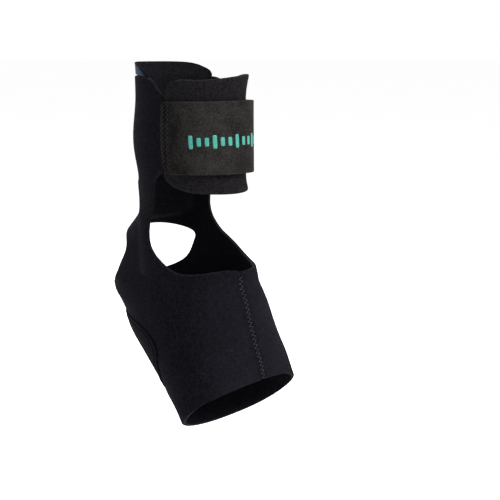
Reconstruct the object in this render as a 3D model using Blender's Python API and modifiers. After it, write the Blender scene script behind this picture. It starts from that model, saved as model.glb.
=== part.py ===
"""Heel support brace for a right foot, in the form it has when worn.

Row frame: origin at the centre of the ankle joint, +Z up the shin, toes toward -Y and downward,
medial side +X, lateral side -X. Every layer is cut from one limb surface: a station runs down the
shin and round the heel to the front rim, and a turn runs round the limb from its back or sole.
"""

import math

import bmesh
import bpy
from mathutils import Vector
from mathutils.geometry import delaunay_2d_cdt

# Driving sizes, in metres and degrees.
SHIN_RISE = 0.155
ANKLE_DEPTH = 0.073
ANKLE_WIDTH = 0.0568
FOOT_REACH = 0.0984
FOOT_DROP = 0.0735
FOOT_WIDTH = 0.092
FOOT_PITCH = 49.4
FOOT_ROLL = 12.5
SECTION_POWER = 2.15

NEOPRENE = 0.0030
WRAP_WALL = 0.0033
STRAP_WALL = 0.0020
TAB_WALL = 0.0008
PAD_WALL = 0.0035
PAD_LIP = 0.0015
LIP_STAND = 0.0024
ARCH_CROWN = 0.0022
ARCH_RIM = 0.0006
ARCH_SLOPE = 0.011
CLEARANCE = 0.0003
SEAM_GAP = 0.0004
EDGE_FLARE = 0.0011
STRAP_LIFT = 0.0033

SHIN_SECTIONS = (
    # height/rise, back/depth, front/depth, half width/width
    (1.000, 0.632, -0.459, 0.607),
    (0.910, 0.574, -0.451, 0.597),
    (0.729, 0.551, -0.434, 0.581),
    (0.548, 0.600, -0.452, 0.551),
    (0.368, 0.563, -0.468, 0.514),
    (0.245, 0.534, -0.466, 0.500),
)
FOOT_SECTIONS = (
    # sole ahead/reach, sole up/drop, top ahead/reach, top up/drop, half width/width, roll share
    (-0.500, -0.158, 0.071, 0.578, 0.321, 0.30),
    (-0.492, -0.431, 0.244, 0.517, 0.347, 0.60),
    (-0.514, -0.629, 0.335, 0.434, 0.363, 0.85),
    (-0.501, -0.886, 0.447, 0.336, 0.378, 1.00),
    (-0.306, -0.996, 0.569, 0.265, 0.403, 1.00),
    (0.002, -0.989, 0.671, 0.158, 0.437, 1.00),
    (0.381, -0.913, 0.772, 0.041, 0.465, 1.00),
    (0.715, -0.918, 0.884, -0.068, 0.477, 1.00),
    (1.000, -0.868, 1.000, -0.252, 0.500, 1.00),
)
LAST_STATION = len(SHIN_SECTIONS) + len(FOOT_SECTIONS) - 1

SLEEVE_EDGE = (
    # station, angle from the back, extra station on the medial side
    (1.55, 0.0, 0.0),
    (1.57, 30.0, 0.0),
    (1.60, 62.0, 0.0),
    (1.63, 81.0, 0.0),
    (1.69, 86.5, 0.0),
    (1.85, 92.0, 0.0),
    (2.02, 98.0, 0.0),
)
ANKLE_EDGE = (
    (4.00, 86.0, 0.0),
    (4.15, 81.0, 0.0),
    (4.61, 76.0, 0.0),
    (5.08, 73.5, 0.0),
    (5.56, 72.3, 0.0),
    (6.01, 72.8, 0.0),
    (6.36, 75.8, 0.0),
    (6.66, 80.0, 0.0),
    (6.99, 85.0, 0.0),
    (7.34, 90.5, 0.0),
    (7.63, 96.3, 0.0),
    (7.86, 102.3, 0.02),
    (8.07, 108.6, 0.05),
    (8.22, 115.5, 0.08),
    (8.30, 124.0, 0.13),
    (8.22, 137.0, 0.22),
    (8.09, 150.0, 0.30),
    (8.03, 164.0, 0.26),
    (8.08, 173.0, 0.16),
    (8.15, 177.6, 0.06),
    (8.30, 179.4, 0.0),
)
SEAM = (
    # station, turn through the medial side
    (8.42, 180.0),
    (10.50, 180.0),
    (11.60, 178.6),
    (12.70, 175.8),
    (13.75, 171.4),
)
RIM_RISE = 0.11
RIM_CORNER_TURNS = (0.7, 2.6)
RIM_CORNER_DIP = 0.04
JOINT = ((2.13, 101.8), (3.86, 95.2))
HOLE_STATION = 8.41
HOLE_HALF_STATIONS = 1.50
HOLE_HALF_ANGLE = 65.0
HOLE_POWER = 2.7

WRAP_TOP = (
    # station, turn through the medial side
    (1.98, 258.0),
    (1.84, 255.8),
    (1.72, 251.0),
    (1.655, 244.0),
    (1.65, 230.0),
    (1.65, 215.0),
    (1.62, 195.0),
    (1.58, 175.0),
    (1.54, 150.0),
    (1.55, 125.0),
    (1.60, 113.0),
    (1.72, 106.5),
    (1.90, 103.6),
)
WRAP_BOTTOM = (
    (4.04, 95.0),
    (4.15, 93.5),
    (4.25, 99.0),
    (4.36, 112.0),
    (4.45, 130.0),
    (4.50, 155.0),
    (4.54, 180.0),
    (4.54, 206.0),
    (4.53, 222.0),
    (4.48, 236.0),
    (4.39, 248.0),
    (4.26, 257.0),
    (4.12, 262.5),
    (3.98, 265.0),
)
STRAP_STATIONS = (2.148, 3.916)
STRAP_START = (260.6, 267.6)
STRAP_END = 68.0
TAB_TURNS = (71.0, 93.0)
PAD_STEP = (0.03, 0.08)
LIP_RISE = 0.30
PAD_EDGE = (
    # station, angle from the back
    (1.25, 0.0),
    (1.25, 25.0),
    (1.28, 43.0),
    (1.38, 61.0),
    (1.50, 72.5),
    (1.66, 76.5),
    (2.20, 74.0),
    (3.20, 68.0),
    (4.20, 62.0),
    (5.20, 57.0),
    (6.05, 50.0),
    (6.42, 36.0),
    (6.55, 0.0),
)
ARCH_EDGE = (
    # station, angle from the sole's middle
    (10.56, 0.0),
    (10.58, 25.0),
    (10.64, 46.0),
    (10.74, 62.0),
    (10.90, 75.0),
    (11.12, 82.5),
    (11.38, 85.5),
    (11.68, 84.5),
    (12.02, 81.5),
    (12.38, 77.0),
    (12.66, 70.0),
    (12.86, 56.0),
    (12.95, 36.0),
    (12.98, 0.0),
)

# A cut is laid out flat: metres for one station, metres for one degree of turn.
STATION_SCALE = SHIN_RISE * 0.142
TURN_SCALE = ANKLE_WIDTH / 90
NET_STRETCH = 1.5
EDGE_STEP = SHIN_RISE * 0.028
NET_STEP = SHIN_RISE * 0.046
DOUBLED = EDGE_STEP * 0.092
SLIVER = NET_STEP**2 * 0.0004


def colour(hex_code):
    """Linear colour from an sRGB hex code."""
    values = [int(hex_code[i : i + 2], 16) / 255 for i in (1, 3, 5)]
    linear = [v / 12.92 if v <= 0.04045 else ((v + 0.055) / 1.055) ** 2.4 for v in values]
    return (*linear, 1.0)


def material(name, hex_code, roughness):
    made = bpy.data.materials.new(name)
    made.use_nodes = True
    shader = made.node_tree.nodes["Principled BSDF"]
    shader.inputs["Base Color"].default_value = colour(hex_code)
    shader.inputs["Roughness"].default_value = roughness
    return made


def foot_axes(roll_share):
    """Medial, forward and dorsal directions of the pitched and rolled foot."""
    pitch = math.radians(FOOT_PITCH)
    roll = math.radians(FOOT_ROLL * roll_share)
    medial = Vector((1, 0, 0))
    forward = Vector((0, -math.cos(pitch), -math.sin(pitch)))
    dorsal = Vector((0, -math.sin(pitch), math.cos(pitch)))
    rolled = medial * math.cos(roll) + dorsal * math.sin(roll)
    return rolled, forward, dorsal * math.cos(roll) - medial * math.sin(roll)


def limb_sections():
    """Rows of (back or sole point, front or top point, medial direction, half width)."""
    rows = []
    for height, back, front, half in SHIN_SECTIONS:
        z = height * SHIN_RISE
        back_point = Vector((0, back * ANKLE_DEPTH, z))
        front_point = Vector((0, front * ANKLE_DEPTH, z))
        rows.append((back_point, front_point, Vector((1, 0, 0)), half * ANKLE_WIDTH))
    for sole_s, sole_d, top_s, top_d, half, share in FOOT_SECTIONS:
        medial, forward, dorsal = foot_axes(share)
        sole_point = forward * (sole_s * FOOT_REACH) + dorsal * (sole_d * FOOT_DROP)
        top_point = forward * (top_s * FOOT_REACH) + dorsal * (top_d * FOOT_DROP)
        rows.append((sole_point, top_point, medial, half * FOOT_WIDTH))
    return rows


SECTIONS = limb_sections()


def blend(a, b, c, d, t):
    """Catmull-Rom value between b and c."""
    return (
        b * 2.0 + (c - a) * t + (a * 2.0 - b * 5.0 + c * 4.0 - d) * t**2 + (b * 3.0 - a - c * 3.0 + d) * t**3
    ) * 0.5


def skin_point(station, turn):
    """Point of the limb surface at a station and a turn in degrees."""
    first = min(max(int(math.floor(station)), 0), LAST_STATION - 1)
    rows = [SECTIONS[min(max(first + k, 0), LAST_STATION)] for k in (-1, 0, 1, 2)]
    back, front, medial, half = (blend(*(row[k] for row in rows), station - first) for k in range(4))
    medial = medial.normalized()
    middle = (back + front) / 2
    c = math.cos(math.radians(turn))
    s = math.sin(math.radians(turn))
    c = math.copysign(abs(c) ** (2 / SECTION_POWER), c)
    s = math.copysign(abs(s) ** (2 / SECTION_POWER), s)
    return middle + (back - front) / 2 * c + medial * half * s


def limb_point(station, turn, offset=0.0):
    """Point at an offset outward from the limb surface."""
    point = skin_point(station, turn)
    down = skin_point(station + 0.02, turn) - skin_point(station - 0.02, turn)
    around = skin_point(station, turn + 0.5) - skin_point(station, turn - 0.5)
    return point + around.cross(down).normalized() * offset


def spline(rows, step):
    """Evenly sampled smooth curve through rows of (station, turn), ends kept."""
    points = [Vector((r[0] * STATION_SCALE, r[1] * TURN_SCALE)) for r in rows]
    points = [points[0] * 2 - points[1]] + points + [points[-1] * 2 - points[-2]]
    out = []
    for i in range(1, len(points) - 2):
        p0, p1, p2, p3 = points[i - 1 : i + 3]
        gaps = [max((b - a).length, 1e-9) ** 0.5 for a, b in ((p0, p1), (p1, p2), (p2, p3))]
        m1 = ((p1 - p0) / gaps[0] - (p2 - p0) / (gaps[0] + gaps[1]) + (p2 - p1) / gaps[1]) * gaps[1]
        m2 = ((p2 - p1) / gaps[1] - (p3 - p1) / (gaps[1] + gaps[2]) + (p3 - p2) / gaps[2]) * gaps[1]
        count = max(1, round((p2 - p1).length / step))
        for k in range(count):
            t = k / count
            out.append(
                p1 * (2 * t**3 - 3 * t**2 + 1) + m1 * (t**3 - 2 * t**2 + t)
                + p2 * (3 * t**2 - 2 * t**3) + m2 * (t**3 - t**2)
            )
    out.append(points[-2])
    return out


def straight(start, end, step):
    a = Vector((start[0] * STATION_SCALE, start[1] * TURN_SCALE))
    b = Vector((end[0] * STATION_SCALE, end[1] * TURN_SCALE))
    count = max(1, round((b - a).length / step))
    return [a.lerp(b, k / count) for k in range(count + 1)]


def joined(*runs):
    """One closed outline from runs that follow each other, without doubled points."""
    out = []
    for run in runs:
        for p in run:
            if not out or (p - out[-1]).length > DOUBLED:
                out.append(p)
    while (out[0] - out[-1]).length < DOUBLED:
        out.pop()
    return out


def inside(loop, p):
    hit = False
    for a, b in zip(loop, loop[1:] + loop[:1]):
        if (a.y > p.y) != (b.y > p.y) and p.x < (b.x - a.x) * (p.y - a.y) / (b.y - a.y) + a.x:
            hit = not hit
    return hit


def distance_to(loop, p):
    best = 1.0
    for a, b in zip(loop, loop[1:] + loop[:1]):
        along = b - a
        t = min(max((p - a).dot(along) / along.length_squared, 0.0), 1.0)
        best = min(best, (p - a - along * t).length)
    return best


def net(loops, creases=()):
    """Points and triangles of a flat cut: outline loops[0], holes in the rest, folds along creases.

    The triangles are drawn out along the limb, as it curves more around than along.
    """
    stretched = [[Vector((p.x, p.y * NET_STRETCH)) for p in loop] for loop in loops]
    folds = [[Vector((p.x, p.y * NET_STRETCH)) for p in fold] for fold in creases]
    outline, holes = stretched[0], stretched[1:]
    points = []
    edges = []
    for loop in stretched:
        start = len(points)
        points.extend(loop)
        edges.extend((start + k, start + (k + 1) % len(loop)) for k in range(len(loop)))
    for fold in folds:
        start = len(points)
        points.extend(fold)
        edges.extend((start + k, start + k + 1) for k in range(len(fold) - 1))
    low = Vector((min(p.x for p in outline), min(p.y for p in outline)))
    high = Vector((max(p.x for p in outline), max(p.y for p in outline)))
    rows = math.ceil((high.x - low.x) / (NET_STEP * 0.87))
    for i in range(rows + 1):
        for k in range(math.ceil((high.y - low.y) / NET_STEP) + 1):
            p = low + Vector((i * NET_STEP * 0.87, (k + 0.5 * (i % 2)) * NET_STEP))
            if inside(outline, p) and not any(inside(h, p) for h in holes):
                room = min(distance_to(loop, p) for loop in stretched)
                if min([room, *((q - p).length for fold in folds for q in fold)]) > 0.45 * NET_STEP:
                    points.append(p)
    found = delaunay_2d_cdt(points, edges, [], 0, 1e-7)
    triangles = []
    for face in found[2]:
        a, b, c = (found[0][k] for k in face)
        middle = (a + b + c) / 3
        if abs((b - a).cross(c - a)) < SLIVER:
            continue
        if inside(outline, middle) and not any(inside(h, middle) for h in holes):
            triangles.append(tuple(face))
    return [(p.x / STATION_SCALE, p.y / NET_STRETCH / TURN_SCALE) for p in found[0]], triangles


def add_object(name, mesh, slot):
    for polygon in mesh.polygons:
        polygon.use_smooth = True
    mesh.materials.append(slot)
    made = bpy.data.objects.new(name, mesh)
    parts.objects.link(made)
    return made


def sheet(name, loops, wall, offset, slot):
    """Shell of even wall, laid on the limb surface at offset(station, turn) and thickened outward."""
    cut, triangles = net(loops)
    bm = bmesh.new()
    verts = [bm.verts.new(limb_point(s, t, offset(s, t))) for s, t in cut]
    for a, b, c in triangles:
        bm.faces.new((verts[a], verts[b], verts[c]))
    bmesh.ops.delete(bm, geom=[v for v in bm.verts if not v.link_faces], context="VERTS")
    bmesh.ops.recalc_face_normals(bm, faces=bm.faces)
    bm.normal_update()
    seen = min(range(len(triangles)), key=lambda k: cut[triangles[k][0]][0])
    bm.faces.ensure_lookup_table()
    probe = bm.faces[seen]
    s, t = cut[triangles[seen][0]]
    if probe.normal.dot(limb_point(s, t, 0.001) - limb_point(s, t, 0.0)) < 0:
        bmesh.ops.reverse_faces(bm, faces=bm.faces)
    mesh = bpy.data.meshes.new(name)
    bm.to_mesh(mesh)
    bm.free()
    made = add_object(name, mesh, slot)
    shell = made.modifiers.new("wall", "SOLIDIFY")
    shell.thickness = wall
    shell.offset = 1.0
    shell.use_even_offset = True
    return made


def cushion(name, loops, inner, outer, slot, creases=()):
    """Closed pad between inner(station, turn) and outer(station, turn) offsets from the limb."""
    cut, triangles = net(loops, creases)
    used = sorted({k for face in triangles for k in face})
    bm = bmesh.new()
    low = {k: bm.verts.new(limb_point(*cut[k], inner(*cut[k]))) for k in used}
    high = {k: bm.verts.new(limb_point(*cut[k], outer(*cut[k]))) for k in used}
    ways = {}
    for face in triangles:
        for a, b in zip(face, face[1:] + face[:1]):
            ways[(a, b)] = True
        bm.faces.new([high[k] for k in face])
        bm.faces.new([low[k] for k in reversed(face)])
    for a, b in ways:
        if (b, a) not in ways:
            bm.faces.new((high[b], high[a], low[a], low[b]))
    bmesh.ops.recalc_face_normals(bm, faces=bm.faces)
    bmesh.ops.triangulate(bm, faces=bm.faces)
    mesh = bpy.data.meshes.new(name)
    bm.to_mesh(mesh)
    bm.free()
    return add_object(name, mesh, slot)


def mirrored(rows):
    """Rows carried over to the other side of the back, in the opposite order."""
    return [(r[0], -r[1]) for r in reversed(rows)]


def joint_angle(station):
    (s0, a0), (s1, a1) = JOINT
    return a0 + (a1 - a0) * (station - s0) / (s1 - s0)


def rim_station(turn):
    """The front rim is cut back a little over the top of the foot."""
    return LAST_STATION - RIM_RISE * max(0.0, -math.cos(math.radians(turn)))


def sleeve_loops():
    """Outline and heel hole of the sleeve, with its upright's edges butting the wrap's."""
    gap = math.degrees(CLEARANCE / 2 / (ANKLE_WIDTH / 2))
    seam = math.degrees(SEAM_GAP / 2 / (FOOT_WIDTH / 2))
    sides = []
    for share, way in ((1.0, 1.0), (0.0, -1.0)):
        top = [(r[0] + r[2] * share, r[1]) for r in SLEEVE_EDGE]
        joint = [(s, joint_angle(s) - gap) for s, _ in JOINT]
        ankle = [(r[0] + r[2] * share, min(r[1], 180.0 - seam)) for r in ANKLE_EDGE]
        line = [(s, (t if way > 0 else 360.0 - t) - seam) for s, t in SEAM]
        end = line[-1][1] - RIM_CORNER_TURNS[0]
        rim_end = end - RIM_CORNER_TURNS[1]
        corner = [line[-1], (rim_station(end) - RIM_CORNER_DIP, end), (rim_station(rim_end), rim_end)]
        turns = [rim_end * (1 - k / 44) for k in range(45)]
        run = joined(
            spline(top + joint[:1], EDGE_STEP),
            straight(joint[0], joint[1], EDGE_STEP),
            spline(joint[1:] + ankle + line, EDGE_STEP),
            spline(corner, EDGE_STEP),
            [Vector((rim_station(t) * STATION_SCALE, t * TURN_SCALE)) for t in turns],
        )
        sides.append([Vector((p.x, p.y * way)) for p in run])
    hole = []
    for k in range(44):
        a = 2 * math.pi * k / 44
        s = math.copysign(abs(math.cos(a)) ** (2 / HOLE_POWER), math.cos(a))
        t = math.copysign(abs(math.sin(a)) ** (2 / HOLE_POWER), math.sin(a))
        station = HOLE_STATION - HOLE_HALF_STATIONS * s
        hole.append(Vector((station * STATION_SCALE, HOLE_HALF_ANGLE * t * TURN_SCALE)))
    return [joined(sides[0], reversed(sides[1])), hole]


def wrap_loops():
    gap = math.degrees(CLEARANCE / 2 / (ANKLE_WIDTH / 2))
    medial = [(s, joint_angle(s) + gap) for s, _ in JOINT]
    lateral = [(s, 360.0 - t) for s, t in reversed(medial)]
    top = spline([lateral[1], *WRAP_TOP, medial[0]], EDGE_STEP)
    bottom = spline([medial[1], *WRAP_BOTTOM, lateral[0]], EDGE_STEP)
    sides = straight(medial[0], medial[1], EDGE_STEP), straight(lateral[0], lateral[1], EDGE_STEP)
    return [joined(top, sides[0], bottom, sides[1])]


def wrap_offset(station, turn):
    """The wrap's two long edges stand away from the shin where the strap doesn't hold them."""
    above = max(0.0, STRAP_STATIONS[0] - station) / 0.55
    below = max(0.0, station - STRAP_STATIONS[1]) / 0.60
    ease = min(1.0, max(0.0, (turn - 100.0) / 25.0), max(0.0, (260.0 - turn) / 25.0))
    return EDGE_FLARE * min(1.0, above + below) ** 2 * ease


def strap_offset(station, turn):
    """The strap lies on the wrap, stands off at the front and ends on the hook tab."""
    share = min(max((258.0 - turn) / (258.0 - 100.0), 0.0), 1.0)
    lift = STRAP_LIFT * math.sin(math.pi * share**1.8)
    seat = WRAP_WALL + CLEARANCE
    tab_seat = NEOPRENE + CLEARANCE + TAB_WALL + CLEARANCE
    ease = min(max((112.0 - turn) / 12.0, 0.0), 1.0)
    return seat + lift + (max(tab_seat, seat) - seat) * ease


def strap_loops():
    top, bottom = STRAP_STATIONS
    free = [(top, STRAP_END + 4), (top + 0.05, STRAP_END + 0.7), (top + 0.2, STRAP_END)]
    lower = [(top + bottom - s, t) for s, t in reversed(free)]
    return [
        joined(
            straight((top, STRAP_START[0]), free[0], EDGE_STEP),
            spline(free, EDGE_STEP),
            straight(free[-1], lower[0], EDGE_STEP),
            spline(lower, EDGE_STEP),
            straight(lower[-1], (bottom, STRAP_START[1]), EDGE_STEP),
            straight((bottom, STRAP_START[1]), (top, STRAP_START[0]), EDGE_STEP),
        )
    ]


def tab_loops():
    top = STRAP_STATIONS[0] + 0.12
    bottom = STRAP_STATIONS[1] - 0.12
    first, last = TAB_TURNS
    corners = [(top, last), (top, first), (bottom, first), (bottom, last)]
    return [joined(*(straight(a, b, NET_STEP) for a, b in zip(corners, corners[1:] + corners[:1])))]


def both_sides(rows):
    return joined(spline(rows, EDGE_STEP), spline(mirrored(rows), EDGE_STEP))


def upright_top(turn):
    """Station of the upright's top edge."""
    return 1.55 + 0.08 * (abs(turn) / 81.0) ** 2


def pad_outer(station, turn):
    """Under the upright the pad follows its inside; above the upright's top it stands level with it."""
    above = min(max((upright_top(turn) - PAD_STEP[0] - station) / (PAD_STEP[1] - PAD_STEP[0]), 0.0), 1.0)
    ease = min(max((75.0 - abs(turn)) / 4.0, 0.0), 1.0)
    return -CLEARANCE + (LIP_STAND + CLEARANCE) * above * ease


def pad_inner(station, turn):
    """The pad thins to a lip toward its top edge, and the lip stands out from the leg."""
    above = min(max((upright_top(turn) - station) / LIP_RISE, 0.0), 1.0)
    ease = min(max((75.0 - abs(turn)) / 4.0, 0.0), 1.0)
    return -CLEARANCE - PAD_WALL * (1 - above) + ((LIP_STAND + CLEARANCE) * ease - PAD_LIP) * above


def pad_creases():
    """Where the pad steps outward over the upright's top edge."""
    lines = []
    for step in PAD_STEP:
        turns = [-73.5 + 147.0 * k / 28 for k in range(29)]
        lines.append([Vector(((upright_top(t) - step) * STATION_SCALE, t * TURN_SCALE)) for t in turns])
    return lines


def arch_share(station, turn):
    """1 in the middle of the arch pad, 0 at its edge."""
    point = Vector((station * STATION_SCALE, turn * TURN_SCALE))
    return min(distance_to(arch_outline, point) / ARCH_SLOPE, 1.0)


def arch_outer(station, turn):
    rise = math.sin(math.pi / 2 * arch_share(station, turn))
    return NEOPRENE + CLEARANCE + ARCH_RIM + (ARCH_CROWN - ARCH_RIM) * rise


for old in list(bpy.data.objects):
    bpy.data.objects.remove(old)
parts = bpy.data.collections.new("heel_support_brace")
bpy.context.scene.collection.children.link(parts)

neoprene = material("neoprene_black", "#1b1b1e", 0.85)
wrap_neoprene = material("wrap_neoprene_black", "#1a1a1d", 0.85)
elastic = material("strap_elastic_charcoal", "#343232", 0.9)
hook_tape = material("hook_tape_black", "#141414", 0.7)
pad_blue = material("pad_fabric_blue", "#22405f", 0.8)
arch_black = material("arch_neoprene_black", "#1e2024", 0.8)

sheet("sleeve", sleeve_loops(), NEOPRENE, lambda s, t: 0.0, neoprene)
sheet("cuff_wrap", wrap_loops(), WRAP_WALL, wrap_offset, wrap_neoprene)
sheet("cuff_strap", strap_loops(), STRAP_WALL, strap_offset, elastic)
sheet("hook_tab", tab_loops(), TAB_WALL, lambda s, t: NEOPRENE + CLEARANCE, hook_tape)
pad_loops = [both_sides(PAD_EDGE)]
cushion("achilles_pad", pad_loops, pad_inner, pad_outer, pad_blue, pad_creases())
arch_outline = both_sides(ARCH_EDGE)
cushion("arch_pad", [arch_outline], lambda s, t: NEOPRENE + CLEARANCE, arch_outer, arch_black)
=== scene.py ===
"""Looks of the heel support brace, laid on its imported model.

Row frame: metres, origin at the centre of the ankle joint, +Z up the shin, toes toward -Y and downward,
medial side +X. Each layer is a flat cut laid on one limb surface: a station runs down the shin and round
the heel to the front rim, and a turn, in degrees, runs round the limb from its back or sole.
"""

import math
from collections import namedtuple
from functools import reduce

import bpy
import numpy as np
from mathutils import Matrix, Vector
from mathutils.geometry import delaunay_2d_cdt


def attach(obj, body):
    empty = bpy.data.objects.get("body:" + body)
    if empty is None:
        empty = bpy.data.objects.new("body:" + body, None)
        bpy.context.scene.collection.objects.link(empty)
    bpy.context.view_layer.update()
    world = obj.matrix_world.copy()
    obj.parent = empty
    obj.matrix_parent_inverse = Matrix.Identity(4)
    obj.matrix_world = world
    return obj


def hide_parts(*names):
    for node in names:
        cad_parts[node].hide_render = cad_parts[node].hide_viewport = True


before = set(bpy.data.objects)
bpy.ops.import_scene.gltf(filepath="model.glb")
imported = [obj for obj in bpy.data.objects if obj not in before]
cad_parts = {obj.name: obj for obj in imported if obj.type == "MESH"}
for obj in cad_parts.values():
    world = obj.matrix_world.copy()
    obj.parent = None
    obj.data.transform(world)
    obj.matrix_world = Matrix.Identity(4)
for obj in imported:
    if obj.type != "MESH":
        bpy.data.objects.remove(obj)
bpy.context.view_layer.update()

MM = 0.001

# Sizes of the limb surface and of the layers, as in the model.
SHIN_RISE = 0.155
ANKLE_DEPTH = 0.073
ANKLE_WIDTH = 0.0568
FOOT_REACH = 0.0984
FOOT_DROP = 0.0735
FOOT_WIDTH = 0.092
FOOT_PITCH = 49.4
FOOT_ROLL = 12.5
SECTION_POWER = 2.15
NEOPRENE = 3.0 * MM
WRAP_WALL = 3.3 * MM
STRAP_WALL = 2.0 * MM
TAB_WALL = 0.8 * MM
PAD_WALL = 3.5 * MM
PAD_LIP = 1.5 * MM
LIP_STAND = 2.4 * MM
ARCH_CROWN = 2.2 * MM
ARCH_RIM = 0.6 * MM
ARCH_SLOPE = 11.0 * MM
CLEARANCE = 0.3 * MM
SEAM_GAP = 0.4 * MM
EDGE_FLARE = 1.6 * MM
STRAP_LIFT = 3.3 * MM

SHIN_SECTIONS = (
    # height/rise, back/depth, front/depth, half width/width
    (1.000, 0.632, -0.459, 0.607),
    (0.910, 0.574, -0.451, 0.597),
    (0.729, 0.551, -0.434, 0.581),
    (0.548, 0.600, -0.452, 0.551),
    (0.368, 0.563, -0.468, 0.514),
    (0.245, 0.534, -0.466, 0.500),
)
FOOT_SECTIONS = (
    # sole ahead/reach, sole up/drop, top ahead/reach, top up/drop, half width/width, roll share
    (-0.500, -0.158, 0.071, 0.578, 0.321, 0.30),
    (-0.492, -0.431, 0.244, 0.517, 0.347, 0.60),
    (-0.514, -0.629, 0.335, 0.434, 0.363, 0.85),
    (-0.501, -0.886, 0.447, 0.336, 0.378, 1.00),
    (-0.306, -0.996, 0.569, 0.265, 0.403, 1.00),
    (0.002, -0.989, 0.671, 0.158, 0.437, 1.00),
    (0.381, -0.913, 0.772, 0.041, 0.465, 1.00),
    (0.715, -0.918, 0.884, -0.068, 0.477, 1.00),
    (1.000, -0.868, 1.000, -0.252, 0.500, 1.00),
)
LAST_STATION = len(SHIN_SECTIONS) + len(FOOT_SECTIONS) - 1

# Edges of the cuts, as rows of (station, turn).
SLEEVE_TOP = ((1.55, 0), (1.57, 30), (1.60, 62), (1.63, 81), (1.69, 86.5), (1.85, 92), (2.02, 98))
ANKLE_EDGE = (
    # station, turn, extra station on the medial side
    (4.00, 86, 0), (4.15, 81, 0), (4.61, 77, 0), (5.08, 75.2, 0),
    (5.56, 74.1, 0), (6.01, 74.6, 0), (6.36, 77.6, 0), (6.66, 81.8, 0),
    (6.99, 86.8, 0), (7.34, 92.2, 0), (7.63, 97.8, 0), (7.86, 103.4, 0.02),
    (8.07, 109.2, 0.05), (8.22, 115.5, 0.08), (8.30, 124, 0.13), (8.22, 137, 0.22),
    (8.09, 150, 0.30), (8.03, 164, 0.26), (8.08, 173, 0.16), (8.15, 177.6, 0.06),
    (8.30, 179.4, 0),
)
SEAM = (
    (8.46, 181.1), (9.40, 181.9), (10.50, 181.4), (11.60, 179.2), (12.60, 177.3),
    (13.30, 174.7), (13.75, 172.4),
)
RIM_RISE = (
    # turn, stations that the front rim is cut back over the top of the foot
    (90, 0), (110, 0.068), (130, 0.135), (150, 0.195), (165, 0.226), (180, 0.200),
    (210, 0.160), (225, 0.143), (240, 0.120), (255, 0.058), (270, 0),
)
RIM_CORNER_TURNS = (0.7, 2.6)
RIM_CORNER_DIP = 0.04
RIM_STEPS = 90
JOINT = ((2.13, 101.8), (3.86, 95.2))
HOLE_STATION = 8.41
HOLE_HALF_STATIONS = 1.50
HOLE_HALF_ANGLE = 65.0
HOLE_POWER = 2.7
HOLE_STEPS = 120
WRAP_TOP = (
    (1.98, 258), (1.84, 255.8), (1.72, 251), (1.655, 244), (1.65, 230), (1.65, 215),
    (1.62, 195), (1.58, 175), (1.54, 150), (1.55, 125), (1.60, 113), (1.72, 106.5),
    (1.90, 103.6),
)
WRAP_BOTTOM = (
    (4.04, 95), (4.15, 93.5), (4.25, 99), (4.36, 112), (4.45, 130), (4.53, 155),
    (4.57, 180), (4.56, 206), (4.53, 222), (4.48, 236), (4.39, 248), (4.26, 257),
    (4.12, 262.5), (3.98, 265),
)
FLARE_ABOVE = 0.55
FLARE_BELOW = 0.50
FLARE_MEDIAL = (100, 125)
FLARE_LATERAL = (260, 235)
STRAP_STATIONS = (2.148, 3.916)
STRAP_FREE_TURNS = (258, 100)
STRAP_LIFT_POWER = 1.8
STRAP_ON_TAB = (112, 100)
STRAP_START = (260.8, 264.8)
STRAP_END = 68.0
# Corners of the strap, as (stations, turns) from where its edges would cross.
FREE_CORNER = ((0, 4), (0.05, 0.7), (0.2, 0))
SEWN_LOW_CORNER = ((0, -11), (-0.05, -4.6), (-0.24, -1.2))
SEWN_HIGH_CORNER = ((0.12, 0.4), (0.03, -1.2), (0, -4))
TAB_TURNS = (71.0, 93.0)
TAB_INSET = 0.12
UPRIGHT_TOP = 1.55
UPRIGHT_FALL = 0.08
UPRIGHT_CORNER = 81.0
PAD_STEP = (0.0, 0.035)
PAD_STEP_TURN = 73.5
LIP_RISE = 0.30
PAD_EDGE = (
    (1.255, 0), (1.258, 25), (1.27, 40), (1.29, 49), (1.33, 57), (1.38, 63),
    (1.43, 68), (1.49, 72.3), (1.56, 74.8), (1.65, 76), (1.80, 76), (2.20, 74.5),
    (3.20, 68), (4.20, 62), (5.20, 57), (6.05, 50), (6.42, 36), (6.55, 0),
)
ARCH_EDGE = (
    (10.56, 0), (10.58, 25), (10.64, 46), (10.74, 62), (10.90, 75), (11.12, 82.5),
    (11.38, 85.5), (11.62, 85.5), (11.84, 82), (12.02, 77), (12.18, 72), (12.36, 66.5),
    (12.56, 58.5), (12.74, 48), (12.88, 34), (12.96, 17), (12.98, 0),
)

# A cut laid out flat: metres for one station and for one degree of turn.
STATION_SCALE = SHIN_RISE * 0.142
TURN_SCALE = ANKLE_WIDTH / 90
EDGE_STEP = 1.5 * MM
# Rows and room of a cut's net, and the depth of points on none of its rings.
NET_STEP = 2.2 * MM
NET_ROW = 0.87
NET_ROOM = 0.55
DOUBLED = 0.25 * MM
INNER = 1.0
FAR = 1e9
Cut = namedtuple("Cut", "places depths triangles loops")

# Steps for slopes of the limb surface, and for its cloth map.
SLOPE_STATIONS = 0.02
OUTWARD_TURNS = 0.5
SCALE_TURNS = 1.0
MAP_STATIONS = 0.1
MAP_TURNS = 3.0
MAP_START = -180.0
MAP_ZERO = 8.0

# The camera stands on the lateral side, a little above the ankle.
CAMERA_AZIMUTH = -48.97
CAMERA_ELEVATION = 7.22
CAMERA_DISTANCE = 1.128
CAMERA_ASIDE = 0.03839
CAMERA_UP = 0.00332
CAMERA_LENS = 115.2
CAMERA_SENSOR = 36
FLOOR_HEIGHT = -0.155


def placed(name, data):
    """A new object in the scene."""
    made = bpy.data.objects.new(name, data)
    bpy.context.scene.collection.objects.link(made)
    return made


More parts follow.
